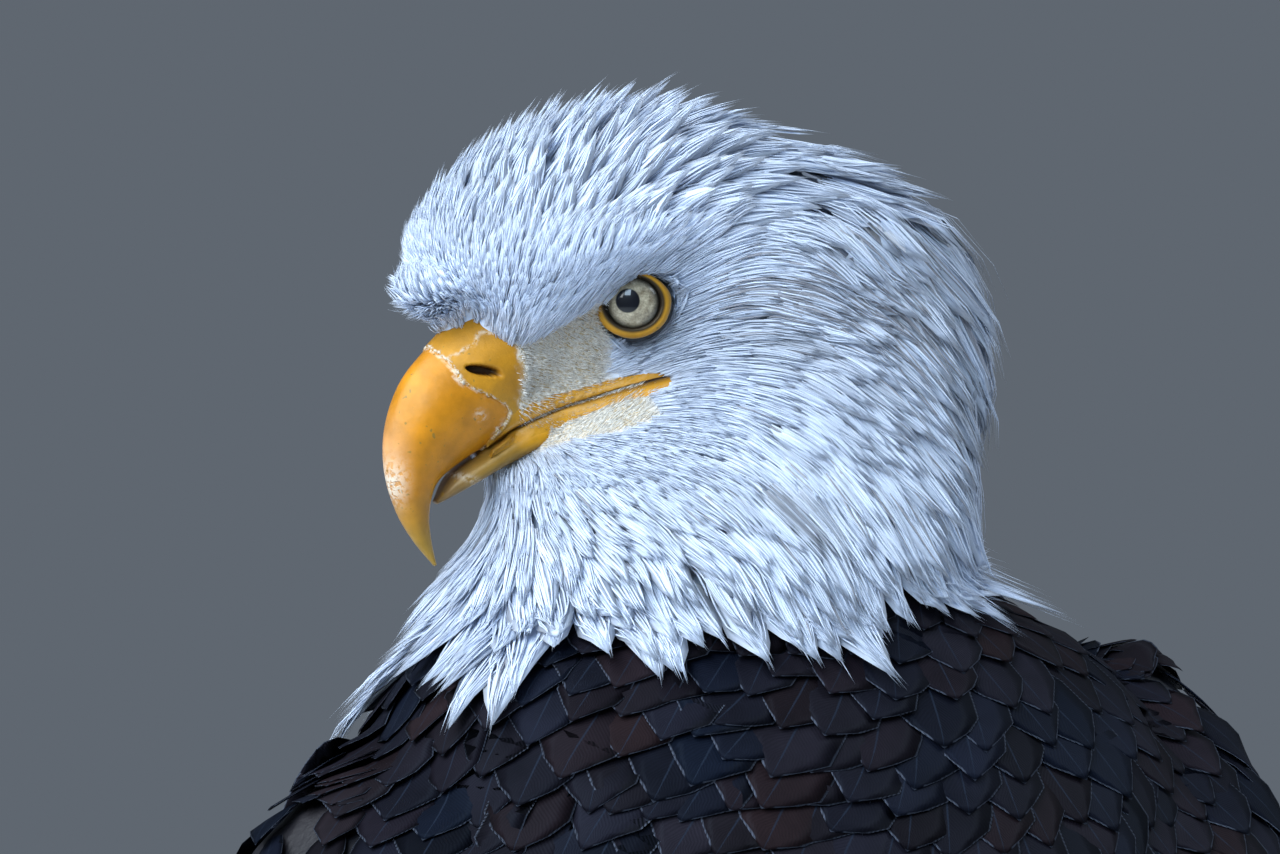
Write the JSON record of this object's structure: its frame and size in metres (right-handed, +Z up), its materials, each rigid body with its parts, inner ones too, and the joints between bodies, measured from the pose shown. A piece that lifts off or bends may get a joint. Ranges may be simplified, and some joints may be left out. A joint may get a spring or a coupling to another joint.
{
  "type": "bald eagle",
  "caption": "Life-size still model of an adult bald eagle, standing with its head turned over its left shoulder.",
  "frame": {"origin": "on the floor, under the middle of the bird's box", "axes": "+Z up, -Y the way the breast faces, +X to the bird's left, where the bill points"},
  "size_m": [0.2868, 0.4256, 0.7127],
  "materials": {
    "white_feathers": "soft matte feathers",
    "dark_feathers": "matte feathers with a faint sheen",
    "bill_horn": "satin horn",
    "yellow_skin": "waxy skin",
    "claw_horn": "polished black horn",
    "eye": "wet gloss"
  },
  "bodies": {
    "root": {"head": "white_feathers", "neck": "white_feathers", "bill_upper": "bill_horn", "cere": "yellow_skin", "bill_lower": "bill_horn", "eye_left": "eye", "eye_right": "eye", "trunk": "dark_feathers", "wing_left_arm": "dark_feathers", "wing_left_secondaries": "dark_feathers", "wing_left_primaries": "dark_feathers", "thigh_left": "dark_feathers", "wing_right_arm": "dark_feathers", "wing_right_secondaries": "dark_feathers", "wing_right_primaries": "dark_feathers", "thigh_right": "dark_feathers", "tail": "white_feathers", "tarsus_left": "yellow_skin", "foot_left": "yellow_skin", "claw_left_1": "claw_horn", "claw_left_2": "claw_horn", "claw_left_3": "claw_horn", "claw_left_4": "claw_horn", "tarsus_right": "yellow_skin", "foot_right": "yellow_skin", "claw_right_1": "claw_horn", "claw_right_2": "claw_horn", "claw_right_3": "claw_horn", "claw_right_4": "claw_horn"}
  },
  "joints": []
}
